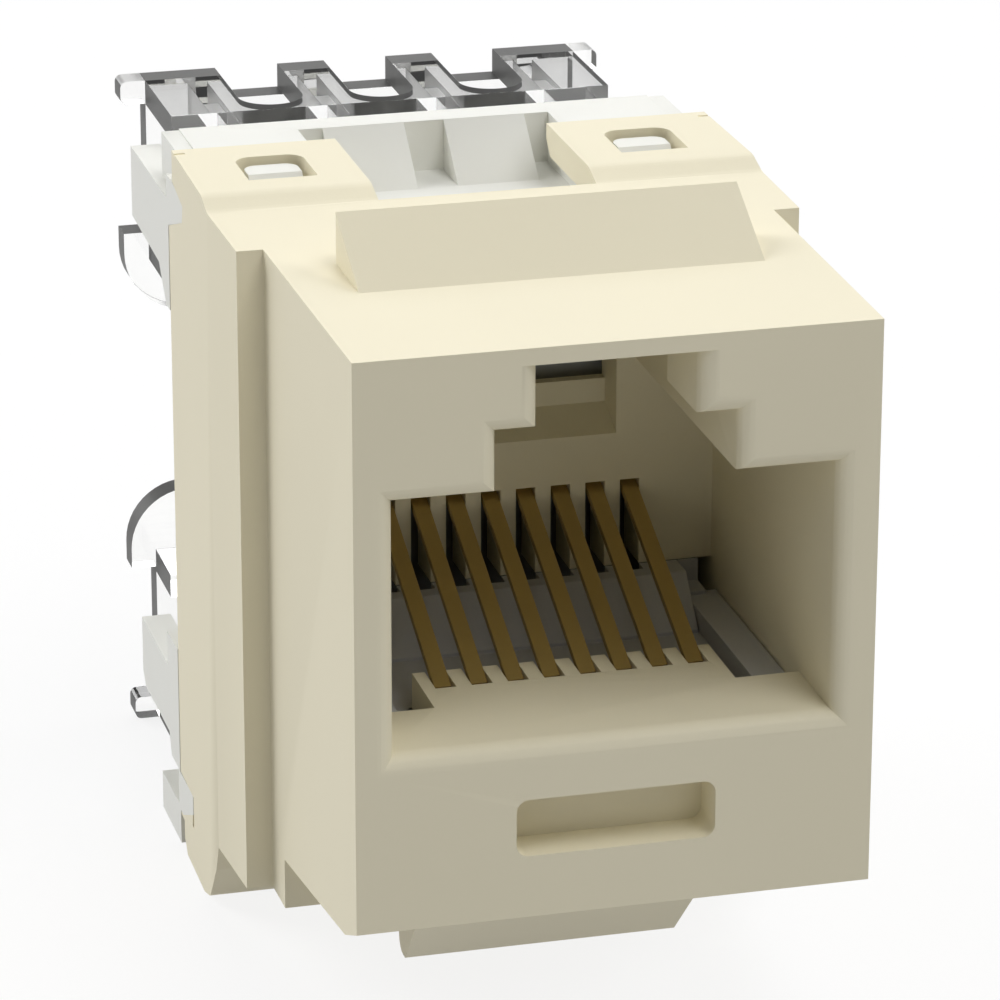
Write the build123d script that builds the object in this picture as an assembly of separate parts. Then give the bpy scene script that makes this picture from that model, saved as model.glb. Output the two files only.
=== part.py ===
from build123d import *
import math
import os

# Modular 8-position keystone jack module, in millimetres.
# Every shape is drawn with X across the face, Y back from the front face and
# Z up from the front face's lower edge. Each piece is then moved so that the
# origin is the centre of the panel opening at the flange's seat.

# Plug socket
socket_width = 12.0
socket_floor = 4.97         # above the front face's lower edge
socket_height = 7.03        # floor to ceiling of the wide part
latch_step_width = 6.5      # lower, wider step for the plug's latch
latch_step_height = 1.67
latch_slot_width = 4.32     # upper, narrower step
latch_slot_height = 1.8
frame_depth = 3.05          # thickness of the front frame behind which the latch catches
latch_roof = 0.6            # wall left above the latch's room
socket_depth = 11.2         # front face to the socket's rear wall
rear_wall = 1.5             # thickness of the socket's rear wall
lead_in = 0.5               # rounded edge of the socket's mouth
mouth_wall = 1.1            # socket's side to the outside of the front face
mouth_roof = 0.47           # wall above the narrow step

# Front body and flange
box_length = 9.85           # front face to flange seat
box_draft = 0.13            # each side's growth from front face to flange
flange_reach = 0.74         # each side flange beyond the front body
flange_depth = 3.6          # flange, front to back
flange_draft = 0.06         # each side's growth over the flange
rear_length = 6.0           # flange to the rear edge of the side walls
rear_draft = 0.1            # each side's loss from flange to rear edge
side_wall = 0.85            # thickness of the rear walls
floor_wall = 0.85           # thickness of the flange's floor
nose_drop = 0.56            # front lower edge slopes down by this much
nose_length = 1.3           # length of that slope
keel_drop = 0.87            # further fall of the underside towards the panel
panel_gap = 1.7             # room for the panel's edge in front of the flange
step_length = 1.55          # length of the step that bears on the panel's edge
panel_step = 2.92           # depth of that step
flange_drop = 0.3           # fall of the flange's lower edge over its depth

# Rear lower block of the body
foot_depth = 5.68           # lowest face, below the front face's lower edge
foot_lead = 1.5             # length of its curved leading edge
foot_length = 5.5           # flange to the block's rear edge
foot_wall = 0.95            # thickness of its floor
foot_gap_length = 2.6       # opening between the lower arms, front to back

# Snap ridge above and snap wedge below
ridge_width = 11.2
ridge_height = 1.44
ridge_length = 2.66
wedge_width = 8.3           # at its root
wedge_tip_width = 7.9       # at its lower edge
wedge_reach = 4.5           # lowest edge, below the front face's lower edge
wedge_length = 3.8          # front slope, front to back
wedge_land = 0.6            # flat behind the slope
wedge_round = 0.35

# Finger recess in the front face
recess_width = 5.48
recess_height = 1.62
recess_base = 1.76
recess_depth = 1.3
recess_round = 0.34

# Latch pocket and moulding window in the socket's rear wall
latch_pocket_drop = 2.72    # socket's ceiling to the pocket's lower edge
latch_pocket_height = 1.27
latch_pocket_width = 6.28
latch_pocket_depth = 1.15
latch_pocket_ramp = 0.57    # rise of its sloping floor
core_window_height = 1.5

# Arms that hold the wire block
arm_gap_width = 6.3         # opening between the arms
arm_rise = 0.27             # the arms stand this much above the front body
arm_ramp = 0.85
ramp_round = 1.2
arm_wall = 0.9
arm_set_back = 0.65         # the arms end this far before the side walls
arm_groove = 0.12           # short groove across each arm's rear corner
arm_groove_depth = 0.06
arm_groove_length = 0.34
arm_groove_set_back = 0.36  # arm's rear edge to the groove's
arm_tip_round = 0.45
window_width = 1.98
window_length = 2.22
window_gap_half = 4.44      # centre line to the window's inner edge
window_set_back = 1.92      # arm's root to the window
window_round = 0.5

# Side notches of the body
notch_drop = 0.92           # arm's upper face to the upper notch
notch_height = 1.51
notch_length = 2.22
notch_fall = 0.3            # fall of its upper edge towards the front
notch_lift = 0.7            # rise of its lower edge towards the front
notch_nose = 0.12           # how far its front edge leans
tail_notch_rise = 0.11      # foot's floor to the lower notch
tail_notch_height = 1.29
tail_notch_length = 2.07
tail_notch_lift = 0.65      # rise of its lower edge towards the front
tail_notch_flat = 0.33      # level part of its lower edge
tail_slit = 0.2             # slit in front of the lower notch
tail_slit_drop = 0.36       # that slit below the notch's front corner
lip_fit = 0.02              # play between the wire block's lips and the notches

# Spring contacts
contact_count = 8
contact_pitch = 1.016
contact_width = 0.46
contact_thickness = 0.3
contact_front = 4.38        # front bend, measured back from the front face
contact_reach = 0.1         # free end behind the rear wall's front face
contact_rise = 2.86         # free end above the front bend
contact_bend = 0.22
comb_width = 8.4
comb_depth = 2.5
comb_slot = 0.58
comb_play = 0.03            # in front of the contact's front bend
rear_slot = 0.57
rear_slot_height = 2.9      # socket's floor to the top of the rear slots
sill_rise = 0.33            # socket's floor to the rear wall's lower edge

# Contact carrier
channel_depth = 2.12        # socket's floor to the channel's floor
carrier_height = 1.05
carrier_groove = 0.56
carrier_groove_depth = 0.62
rail_width = 0.96
rail_height = 0.62
rail_set_back = 0.5         # block's rear face to the rails' rear ends
carrier_block_length = 2.24
carrier_block_height = 1.35
carrier_block_step = 0.1    # step at the foot of its slope
carrier_block_inset = 0.37  # block's ends inside the rails' outer faces
carrier_slot_length = 0.45
carrier_fit = 0.06          # play round the carrier

# Circuit board
board_thickness = 1.2
board_side_gap = 0.52       # board's edge to the side wall
board_overlap = 0.92        # board beyond the terminals' rows
board_floor_gap = 0.47
board_gap = 0.3             # rear face of the socket wall to the board
board_hole_play = 0.06

# Wire block
block_fit = 0.06            # play between the wire block and the body
deck_drop = 0.29            # arm's upper face to the deck
deck_inset = 0.33           # deck's side to the wings' ends
deck_bevel = 0.52           # width of the deck's lower side strips
deck_bevel_drop = 0.05
crown_inset = 1.2           # crown's ends inside the block's sides
deck_length = 2.5
core_length = 1.6           # side walls' rear edge to the block's rear face
wing_inset = 0.02           # wings' ends to the flange's width
wing_length = 5.65          # side walls' rear edge to the wings' tips
wing_drop = 1.36            # deck to the upper wing
wing_height = 2.16
lower_wing_top = -0.5
cheek_drop = 3.36           # upper wing to the cheek's lower edge
cheek_round = 1.0
lower_cheek_rise = 1.1
tray_width = 7.54
tray_depth = 1.52
tray_wall = 0.09            # tray's rear wall, in front of the block's rear face
ramp_width = 2.44
ramp_inner = 0.6
ramp_length = 1.76
boss_gap = 0.21             # boss to window edge
boss_rise = 0.78
boss_lead = 0.35
boss_land = 0.86            # flat top behind the boss's ramp
cheek_wall = 0.9            # thickness of a wing's end plate
row_length = 1.15           # block's rear face to the terminal rows' rear face
post_width = 1.3            # posts that part the terminals
post_set_back = 0.5         # wings' tips to the posts' and terminals' tips
row_inset = 0.16            # lower row's ends inside the side walls
lower_deck_length = 2.85
lower_deck_height = 1.2

# Insulation displacement terminals
terminal_columns = 4
terminal_pitch = 3.42
terminal_width = 1.9
terminal_thickness = 0.4
terminal_slot = 0.32
terminal_slot_depth = 2.6
terminal_play = 0.05
terminal_lead = 0.3         # bevel at the fork's mouth
terminal_tail_rise = 0.6    # board's lower edge to the lower terminals' tails
terminal_step_length = 1.29
terminal_bend = 0.3

# Wire cap
cap_length = 4.9
cap_plate = 0.9
cap_slab = 0.75
cap_slab_gap = 0.14         # cap's slab to the wing under it
cap_side_gap = 0.3          # cap to the wings' end plates
cap_travel = 2.4            # the cap's travel from here to fully pressed
cap_press_gap = 0.12        # cap to wire block when fully pressed
cap_rise = 0.18             # body's foot to the cap's lower edge
ear_drop = 4.82             # cap's top to the upper ear's top
ear_reach = 0.77
ear_length = 2.55
ear_round = 2.1
tab_height = 0.73
waist_depth = 1.85
cable_hole = 7.2
shelf_drop = 4.95           # cap's top to the shelf
shelf_thickness = 0.75
shelf_inset = 0.2
shelf_set_back = 1.68       # slab's front edge to the shelf's
notch_width = 1.95
notch_set_back = 0.48       # slab's front edge to the notches' round ends
notch_rear_drop = 0.73
rib_width = 0.6             # ribs that press the wires down
kerf_play = 0.15            # play round a terminal in a rib's kerf

beyond = 60.0               # past the outside of every piece


def side_prism(face, half_width):
    """Extrude a side view, drawn as (Y, Z), equally to both sides."""
    return extrude(Plane.YZ * face, amount=half_width, both=True)


def side_slice(face, x_start, x_end):
    """Extrude a side view, drawn as (Y, Z), from one X to another."""
    return extrude(Plane.YZ.offset(x_start) * face, amount=x_end - x_start)


def front_prism(face, y_start, y_end):
    """Extrude a front view, drawn as (X, Z), back from one Y to another."""
    plane = Plane(origin=(0, y_start, 0), x_dir=(1, 0, 0), z_dir=(0, -1, 0))
    return extrude(plane * face, amount=y_start - y_end)


def plan_prism(face, z_start, z_end):
    """Extrude a plan view, drawn as (X, Y), up from one Z to another."""
    return extrude(Pos(0, 0, z_start) * face, amount=z_end - z_start)


def outline(*points):
    """Closed face through the given points."""
    return make_face(Polyline(*points, close=True))


def rectangle(low, high):
    """Face between two opposite corners."""
    width = high[0] - low[0]
    height = high[1] - low[1]
    return Pos((low[0] + high[0]) / 2, (low[1] + high[1]) / 2) * Rectangle(width, height)


def rounded(face, corners, radius):
    """Round the face's corners that lie at the given points."""
    chosen = []
    for corner in corners:
        chosen.append(min(face.vertices(), key=lambda v: math.dist((v.X, v.Y), corner)))
    return fillet(chosen, radius)


def both_sides(shape):
    """The shape and its mirror image across the centre plane."""
    return [shape, mirror(shape, about=Plane.YZ)]


def contact_places():
    """X of each contact, first to last."""
    first = -contact_pitch * (contact_count - 1) / 2
    return [first + contact_pitch * index for index in range(contact_count)]


def terminal_places():
    """X of each terminal in a row."""
    first = -terminal_pitch * (terminal_columns - 1) / 2
    return [first + terminal_pitch * index for index in range(terminal_columns)]


def post_places():
    """X of each post, midway between two terminals."""
    return [x + terminal_pitch / 2 for x in terminal_places()[:-1]]


# Widths worked out from the sizes above
box_width = socket_width + 2 * mouth_wall
flange_width = box_width + 2 * (box_draft + flange_reach)
cavity_half = flange_width / 2 - side_wall
block_half = cavity_half - block_fit
board_width = 2 * (cavity_half - board_side_gap)
wing_width = flange_width - 2 * wing_inset
deck_width = wing_width - 2 * deck_inset
cheek_inner = wing_width / 2 - cheek_wall
inner_row_half = block_half - row_inset
cap_width = 2 * (cheek_inner - cap_side_gap)

# Heights
socket_ceiling = socket_floor + socket_height
step_ceiling = socket_ceiling + latch_step_height
slot_ceiling = step_ceiling + latch_slot_height
box_height = slot_ceiling + mouth_roof
latch_room_top = box_height - latch_roof
arm_top = box_height + arm_rise
roof_under = arm_top - arm_wall
core_top = roof_under - block_fit
block_top = arm_top - deck_drop
wing_top = block_top - wing_drop
wing_base = wing_top - wing_height
notch_high = arm_top - notch_drop
notch_low = notch_high - notch_height
keel_low = -nose_drop - keel_drop
flange_low = -panel_step - flange_drop
flange_floor = flange_low + floor_wall
foot_floor = -foot_depth + foot_wall
block_under = foot_floor + block_fit
tail_notch_low = foot_floor + tail_notch_rise
tail_notch_high = tail_notch_low + tail_notch_height
cap_top = wing_top + cap_slab_gap + cap_slab
cap_base = -foot_depth + cap_rise
cap_middle = (cap_top + cap_base) / 2
upper_row = wing_top - wing_height / 2
lower_row = 2 * cap_middle - upper_row
carrier_floor = socket_floor - channel_depth
rear_sill = socket_floor + sill_rise
board_top = upper_row + board_overlap
board_base = flange_floor + board_floor_gap
terminal_tail = board_base + terminal_tail_rise

# Lengths
flange_back = box_length + flange_depth
step_front = box_length - step_length
body_length = flange_back + rear_length
arm_tip = body_length - arm_set_back
window_front = flange_back + window_set_back
foot_front = flange_back + foot_lead
foot_back = flange_back + foot_length
cavity_front = socket_depth + rear_wall
cavity_step = foot_front - 0.1
board_front = cavity_front + board_gap
board_back = board_front + board_thickness
block_front = board_back + block_fit
block_root = body_length + block_fit
core_back = body_length + core_length
deck_back = body_length + deck_length
lower_deck_back = body_length + lower_deck_length
tray_back = core_back - tray_wall
row_back = core_back + row_length
wing_back = body_length + wing_length
terminal_back = wing_back - post_set_back
terminal_step = cavity_step + block_fit + terminal_step_length
cap_front = lower_deck_back + cap_travel + cap_press_gap
cap_back = cap_front + cap_length
plate_front = cap_back - cap_plate


def body_outline():
    """Side view of the body: front box, flange and rear lower block."""
    points = [
        (0, 0),
        (nose_length, -nose_drop),
        (step_front, keel_low),
        (step_front, -panel_step),
        (box_length, -panel_step),
        (flange_back, flange_low),
        (flange_back + 0.45, flange_low - 0.9),
        (foot_front, -foot_depth + 0.25),
        (foot_front + 0.9, -foot_depth),
        (foot_back - 0.4, -foot_depth),
        (foot_back, -foot_depth + 0.4),
        (foot_back, foot_floor),
        (body_length, foot_floor),
        (body_length, notch_low + notch_height / 2),
        (arm_tip, notch_low + notch_height / 2),
        (arm_tip, arm_top),
        (flange_back + arm_ramp, arm_top),
        (flange_back, box_height),
        (0, box_height),
    ]
    face = outline(*points)
    soft = [(flange_back + arm_ramp, arm_top), (flange_back, box_height)]
    face = rounded(face, soft, ramp_round)
    return rounded(face, [(foot_front, -foot_depth + 0.25)], 0.5)


def body_plan():
    """Plan view of the body, with its draft and its side flanges."""
    half = box_width / 2
    seat = flange_width / 2
    right = [
        (half, 0),
        (half + box_draft, box_length),
        (seat, box_length),
        (seat + flange_draft, flange_back),
        (seat + flange_draft - rear_draft, body_length),
    ]
    left = [(-x, y) for x, y in reversed(right)]
    return outline(*right, *left)


def socket_mouth():
    """Front view of the stepped socket opening."""
    wide = socket_width / 2
    step = latch_step_width / 2
    slot = latch_slot_width / 2
    right = [
        (wide, socket_floor),
        (wide, socket_ceiling),
        (step, socket_ceiling),
        (step, step_ceiling),
        (slot, step_ceiling),
        (slot, slot_ceiling),
    ]
    left = [(-x, z) for x, z in reversed(right)]
    return outline(*right, *left)


def socket_room():
    """The space that the plug fills, behind the front frame."""
    wide = socket_width / 2
    step = latch_step_width / 2
    room = front_prism(rectangle((-wide, socket_floor), (wide, socket_ceiling)), frame_depth, socket_depth)
    latch = rectangle((-step, socket_floor), (step, latch_room_top))
    return room + front_prism(latch, frame_depth, socket_depth)


def carrier_channel():
    """The channel under the socket that the contact carrier slides into."""
    wide = socket_width / 2
    low = rectangle((-wide, carrier_floor), (wide, socket_floor))
    gate = rectangle((-wide, carrier_floor), (wide, rear_sill))
    return front_prism(low, frame_depth, socket_depth) + front_prism(gate, socket_depth, cavity_front)


def rear_cavity():
    """The room for the circuit board and the wire block."""
    lift = roof_under + arm_tip_round
    points = [
        (cavity_front, roof_under),
        (arm_tip - arm_tip_round, roof_under),
        (arm_tip + 0.01, lift),
        (body_length + 1, lift),
        (body_length + 1, foot_floor),
        (cavity_step, foot_floor),
        (cavity_step, flange_floor),
        (cavity_front, flange_floor),
    ]
    face = rounded(outline(*points), [(arm_tip - arm_tip_round, roof_under)], arm_tip_round / 2)
    return side_prism(face, cavity_half)


def snap_ridge():
    """Sloping ridge that catches the panel's upper edge."""
    back = box_length - panel_gap
    front = back - ridge_length
    root = box_height - 0.3
    face = outline((front, root), (front, box_height), (back, box_height + ridge_height), (back, root))
    return side_prism(face, ridge_width / 2)


def snap_wedge():
    """Sloping wedge that catches the panel's lower edge."""
    back = box_length - panel_gap
    front = back - wedge_land - wedge_length
    slope_end = back - wedge_land
    root = keel_low + 0.9
    side = outline((front, root), (slope_end, -wedge_reach), (back, -wedge_reach), (back, root))
    side = rounded(side, [(back, -wedge_reach)], wedge_round)
    half = wedge_width / 2
    tip = wedge_tip_width / 2
    front_view = outline((-half, root), (half, root), (tip, -wedge_reach), (-tip, -wedge_reach))
    return side_prism(side, half + 1) & front_prism(front_view, front - 1, back + 1)


def contact_comb():
    """Raised sill whose slots hold the contacts' front bends."""
    face = rectangle((-comb_width / 2, carrier_floor), (comb_width / 2, socket_floor))
    comb = front_prism(face, frame_depth, frame_depth + comb_depth)
    slot_front = contact_front - comb_play
    for x in contact_places():
        slot = rectangle((x - comb_slot / 2, carrier_floor - 1), (x + comb_slot / 2, socket_floor + 1))
        comb -= front_prism(slot, slot_front, frame_depth + comb_depth + 1)
    return comb


def arm_windows():
    """Snap windows of the upper arms, with square front and round rear corners."""
    near = window_gap_half
    far = window_gap_half + window_width
    back = window_front + window_length
    face = rectangle((near, window_front), (far, back))
    face = rounded(face, [(near, back), (far, back)], window_round)
    upper = plan_prism(face, roof_under - 1, arm_top + 1)
    lower = plan_prism(face, -foot_depth - 1, foot_floor + 1)
    return both_sides(upper) + both_sides(lower)


def arm_grooves():
    """Short grooves across the upper arms' outer rear corners."""
    back = arm_tip - arm_groove_set_back
    outer = flange_width / 2
    face = rectangle((outer - arm_groove_length, back - arm_groove), (outer + 1, back))
    return both_sides(plan_prism(face, arm_top - arm_groove_depth, arm_top + 1))


def face_recess():
    """Shallow finger recess below the socket."""
    face = rectangle((-recess_width / 2, recess_base), (recess_width / 2, recess_base + recess_height))
    face = fillet(face.vertices(), recess_round)
    return front_prism(face, -1, recess_depth)


def notch_faces():
    """Side views of the upper and lower notches in the side walls' rear edges."""
    front = body_length - notch_length
    upper = outline(
        (body_length + 1, notch_low),
        (body_length, notch_low),
        (front + notch_nose, notch_low + notch_lift),
        (front, notch_high - notch_fall),
        (arm_tip, notch_high),
        (body_length + 1, notch_high),
    )
    front = body_length - tail_notch_length
    lower = outline(
        (body_length + 1, tail_notch_low),
        (body_length - tail_notch_flat, tail_notch_low),
        (front + tail_slit, tail_notch_low + tail_notch_lift),
        (front + tail_slit, tail_notch_high),
        (body_length + 1, tail_notch_high),
    )
    return [upper, lower]


def side_notches():
    """The notches that take the wire block's side lips."""
    cuts = []
    slit_front = body_length - tail_notch_length
    slit_low = tail_notch_low + tail_notch_lift - tail_slit_drop
    slit = rectangle((slit_front, slit_low), (slit_front + tail_slit, tail_notch_high))
    for face in notch_faces() + [slit]:
        cuts += both_sides(side_slice(face, cavity_half - 0.2, flange_width / 2 + 1))
    return cuts


def rear_wall_cuts():
    """Contact slots, latch pocket and moulding window in the socket's rear wall."""
    cuts = []
    slot_top = socket_floor + rear_slot_height
    for x in contact_places():
        slot = rectangle((x - rear_slot / 2, rear_sill - 0.5), (x + rear_slot / 2, slot_top))
        cuts.append(front_prism(slot, socket_depth - 0.5, cavity_front + 0.5))
    pocket_base = socket_ceiling - latch_pocket_drop
    pocket_top = pocket_base + latch_pocket_height
    half = latch_pocket_width / 2
    pocket_back = socket_depth + latch_pocket_depth
    pocket = outline(
        (socket_depth - 0.5, pocket_base),
        (socket_depth, pocket_base),
        (pocket_back, pocket_base + latch_pocket_ramp),
        (pocket_back, pocket_top),
        (socket_depth - 0.5, pocket_top),
    )
    cuts.append(side_prism(pocket, half))
    window = rectangle((-half, pocket_top), (half, pocket_top + core_window_height))
    cuts.append(front_prism(window, socket_depth - 0.5, cavity_front + 0.5))
    return cuts


def housing():
    """Ivory body with socket, flanges, panel snaps and rear arms."""
    body = side_prism(body_outline(), flange_width) & plan_prism(body_plan(), -beyond, beyond)
    body += snap_ridge()
    body += snap_wedge()
    mouth = front_prism(socket_mouth(), -1, frame_depth)
    body -= mouth
    body -= socket_room()
    body -= carrier_channel()
    body += contact_comb()
    body -= rear_cavity()
    gap = rectangle((-arm_gap_width / 2, flange_back), (arm_gap_width / 2, body_length + 2))
    body -= plan_prism(gap, roof_under - 1, arm_top + 1)
    gap_front = foot_back - foot_gap_length
    gap = rectangle((-arm_gap_width / 2, gap_front), (arm_gap_width / 2, body_length + 2))
    body -= plan_prism(gap, -foot_depth - 1, foot_floor + 1)
    for cut in arm_windows() + arm_grooves() + side_notches() + rear_wall_cuts():
        body -= cut
    body -= face_recess()
    return round_mouth(body)


def round_mouth(body):
    """Round the socket's mouth, except its uppermost edge."""
    chosen = []
    for edge in body.edges().filter_by(lambda e: e.geom_type == GeomType.LINE):
        middle = edge.center()
        on_face = abs(middle.Y) < 1e-4 and abs(edge.start_point().Y - edge.end_point().Y) < 1e-4
        inside = abs(middle.X) < box_width / 2 - 0.1 and middle.Z > socket_floor - 0.01
        if on_face and inside and middle.Z < slot_ceiling - 0.01:
            chosen.append(edge)
    return fillet(chosen, lead_in)


def contact_path():
    """Side view of a contact's centre line, from the board to its free end."""
    low = carrier_floor + contact_thickness / 2 + 0.04
    start = (board_back - 0.1, low)
    bend_y = contact_front + contact_thickness / 2
    end_y = socket_depth + contact_reach
    rise = contact_rise / (end_y - contact_front)
    corner_low = (bend_y, low)
    corner_high = (bend_y, socket_floor - 0.1)
    end = (end_y, corner_high[1] + (end_y - bend_y) * rise)
    return FilletPolyline(start, corner_low, corner_high, end, radius=contact_bend)


def contact(x):
    """One spring contact at the given X."""
    ribbon = trace(contact_path(), contact_thickness)
    return side_slice(ribbon, x - contact_width / 2, x + contact_width / 2)


def contact_carrier():
    """Grey carrier under the contacts, with side rails and a rear block."""
    half = socket_width / 2 - carrier_fit
    low = carrier_floor + carrier_fit / 2
    top = low + carrier_height
    comb_half = comb_width / 2 + carrier_fit
    comb_back = frame_depth + comb_depth + carrier_fit
    front = frame_depth + carrier_fit
    back = board_front - carrier_fit
    plan = outline(
        (-half, front),
        (-comb_half, front),
        (-comb_half, comb_back),
        (comb_half, comb_back),
        (comb_half, front),
        (half, front),
        (half, back),
        (-half, back),
    )
    carrier = plan_prism(plan, low, top)
    block_back = socket_depth - carrier_fit
    rail = rectangle((half - rail_width, front), (half, block_back - rail_set_back))
    for piece in both_sides(plan_prism(rail, top, top + rail_height)):
        carrier += piece
    block_start = block_back - carrier_block_length
    block = outline(
        (block_start, top),
        (block_start, top + carrier_block_step),
        (block_back, top + carrier_block_height),
        (block_back, top),
    )
    carrier += side_prism(block, half - carrier_block_inset)
    reach = carrier_groove / 2
    for x in contact_places():
        groove = rectangle((x - reach, low - 1), (x + reach, low + carrier_groove_depth))
        carrier -= front_prism(groove, front - 1, back + 1)
        slot = rectangle((x - rear_slot / 2, top), (x + rear_slot / 2, top + 2 * carrier_block_height))
        carrier -= front_prism(slot, block_back - carrier_slot_length, block_back + 1)
    return carrier


def circuit_board():
    """Board that joins the contacts to the terminals."""
    face = rectangle((-board_width / 2, board_base), (board_width / 2, board_top))
    board = front_prism(fillet(face.vertices(), 0.5), board_front, board_back)
    reach = contact_width / 2 + board_hole_play
    low = carrier_floor + 0.04 - board_hole_play
    high = carrier_floor + 0.04 + contact_thickness + board_hole_play
    for x in contact_places():
        hole = rectangle((x - reach, low), (x + reach, high))
        board -= front_prism(hole, board_front - 1, board_back + 1)
    return board


def terminal_side(z, thickness, start, end):
    """Side view of a terminal: straight above, stepped down from the board below."""
    tail = max(z, terminal_tail)
    if tail == z:
        path = Line((start, z), (end, z))
    else:
        points = [(start, tail), (terminal_step, tail), (terminal_step, z), (end, z)]
        path = FilletPolyline(*points, radius=terminal_bend)
    return trace(path, thickness)


def terminal(x, z):
    """One forked terminal, from the board to its wire slot."""
    half = terminal_width / 2
    slot = terminal_slot / 2
    front = board_back + 0.02
    side = terminal_side(z, terminal_thickness, front, terminal_back)
    blade = side_slice(side, x - half, x + half)
    plan = outline(
        (x - half, front - 1),
        (x - half, terminal_back - terminal_lead),
        (x - half + terminal_lead, terminal_back),
        (x - slot - terminal_lead, terminal_back),
        (x - slot, terminal_back - terminal_lead),
        (x - slot, terminal_back - terminal_slot_depth),
        (x + slot, terminal_back - terminal_slot_depth),
        (x + slot, terminal_back - terminal_lead),
        (x + slot + terminal_lead, terminal_back),
        (x + half - terminal_lead, terminal_back),
        (x + half, terminal_back - terminal_lead),
        (x + half, front - 1),
    )
    return blade & plan_prism(plan, z - 5, z + 5)


def block_core():
    """Centre of the wire block, inside the body's rear cavity."""
    deep = cavity_step + block_fit
    step = flange_floor + block_fit
    side = outline(
        (block_front, core_top),
        (core_back, core_top),
        (core_back, block_under),
        (deep, block_under),
        (deep, step),
        (block_front, step),
    )
    return side_prism(side, block_half)


def block_decks():
    """Upper and lower decks behind the body; the upper one has lower side strips."""
    half = deck_width / 2
    upper = outline(
        (-half, wing_base),
        (half, wing_base),
        (half, block_top - deck_bevel_drop),
        (half - deck_bevel, block_top - deck_bevel_drop),
        (half - deck_bevel, block_top),
        (-half + deck_bevel, block_top),
        (-half + deck_bevel, block_top - deck_bevel_drop),
        (-half, block_top - deck_bevel_drop),
    )
    crown_half = block_half - crown_inset
    crown = rectangle((-crown_half, core_top - 0.2), (crown_half, block_top))
    outer = wing_width / 2
    lower = rectangle((-outer, -foot_depth), (outer, -foot_depth + lower_deck_height))
    return [
        front_prism(upper, block_root, deck_back),
        front_prism(crown, arm_tip + 2 * block_fit, block_root + 0.2),
        front_prism(lower, block_root, lower_deck_back),
    ]


def block_cheeks():
    """End plates of the wings, and the lips that fill the body's notches."""
    outer = wing_width / 2
    cheek_low = wing_top - cheek_drop
    lower_base = lower_wing_top - wing_height
    upper = outline(
        (block_root, cheek_low),
        (core_back - cheek_round, cheek_low),
        (core_back, cheek_low + cheek_round),
        (wing_back, wing_base),
        (wing_back, wing_top),
        (block_root, wing_top),
    )
    lower = outline(
        (block_root, lower_wing_top + lower_cheek_rise),
        (core_back, lower_wing_top + lower_cheek_rise),
        (core_back, lower_wing_top),
        (wing_back, lower_wing_top),
        (wing_back, lower_base + 0.4),
        (wing_back - 0.4, lower_base),
        (core_back, lower_base),
        (core_back - 0.3, tail_notch_high),
        (block_root, tail_notch_high),
    )
    pieces = []
    for face in (upper, lower):
        plate = side_slice(face, cheek_inner, outer)
        bridge = side_slice(face, block_half - 0.3, outer)
        bridge &= front_prism(rectangle((0, -beyond), (outer, beyond)), block_root, core_back)
        pieces += both_sides(plate + bridge)
    for face in notch_faces():
        lip = side_slice(offset(face, -lip_fit, kind=Kind.INTERSECTION), block_half - 0.3, outer)
        lip &= front_prism(rectangle((0, -beyond), (outer, beyond)), 0, block_root + 0.2)
        pieces += both_sides(lip)
    return pieces


def terminal_row(z, half_width):
    """A row that holds four terminals, with the posts that part them."""
    low = z - wing_height / 2
    high = z + wing_height / 2
    row = front_prism(rectangle((-half_width, low), (half_width, high)), core_back - 0.5, row_back)
    for x in post_places():
        post = rectangle((x - post_width / 2, low), (x + post_width / 2, high))
        row += front_prism(post, row_back - 0.5, terminal_back)
    return row


def block_tray():
    """Recess in the block's upper face, less its two ramps."""
    half = tray_width / 2
    floor = block_top - tray_depth
    space = plan_prism(rectangle((-half, block_front - 1), (half, tray_back)), floor, block_top + 1)
    back = tray_back + 0.01
    ramp = outline((tray_back - ramp_length, floor), (back, block_top), (back, floor))
    wedge = side_slice(ramp, ramp_inner, ramp_inner + ramp_width)
    for piece in both_sides(wedge):
        space -= piece
    return space


def snap_bosses():
    """Ramped bosses that catch in the body's windows, above and below."""
    near = window_gap_half + boss_gap
    far = window_gap_half + window_width - boss_gap
    front = window_front + boss_lead
    back = window_front + window_length - boss_gap
    plan = rectangle((near, front), (far, back))
    plan = rounded(plan, [(near, back), (far, back)], window_round - boss_gap / 2)
    root = core_top - 0.2
    crest = back - boss_land
    high = core_top + boss_rise
    ramp = outline((front, root), (front, core_top), (crest, high), (back, high), (back, root))
    upper = plan_prism(plan, root, core_top + 2) & side_slice(ramp, near - 1, far + 1)
    low = block_under + 0.2
    deep = block_under - boss_rise
    slope = outline((front, low), (front, block_under), (crest, deep), (back, deep), (back, low))
    lower = plan_prism(plan, block_under - 2, low) & side_slice(slope, near - 1, far + 1)
    return both_sides(upper) + both_sides(lower)


def wire_block():
    """White block that holds the terminals behind the body."""
    block = block_core()
    for piece in block_decks() + block_cheeks() + snap_bosses():
        block += piece
    block += terminal_row(upper_row, wing_width / 2)
    block += terminal_row(lower_row, inner_row_half)
    block -= block_tray()
    reach = terminal_width / 2 + terminal_play
    for z in (upper_row, lower_row):
        hole = terminal_side(z, terminal_thickness + 2 * terminal_play, block_front - 1, row_back + 0.1)
        for x in terminal_places():
            block -= side_slice(hole, x - reach, x + reach)
    return block


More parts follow.
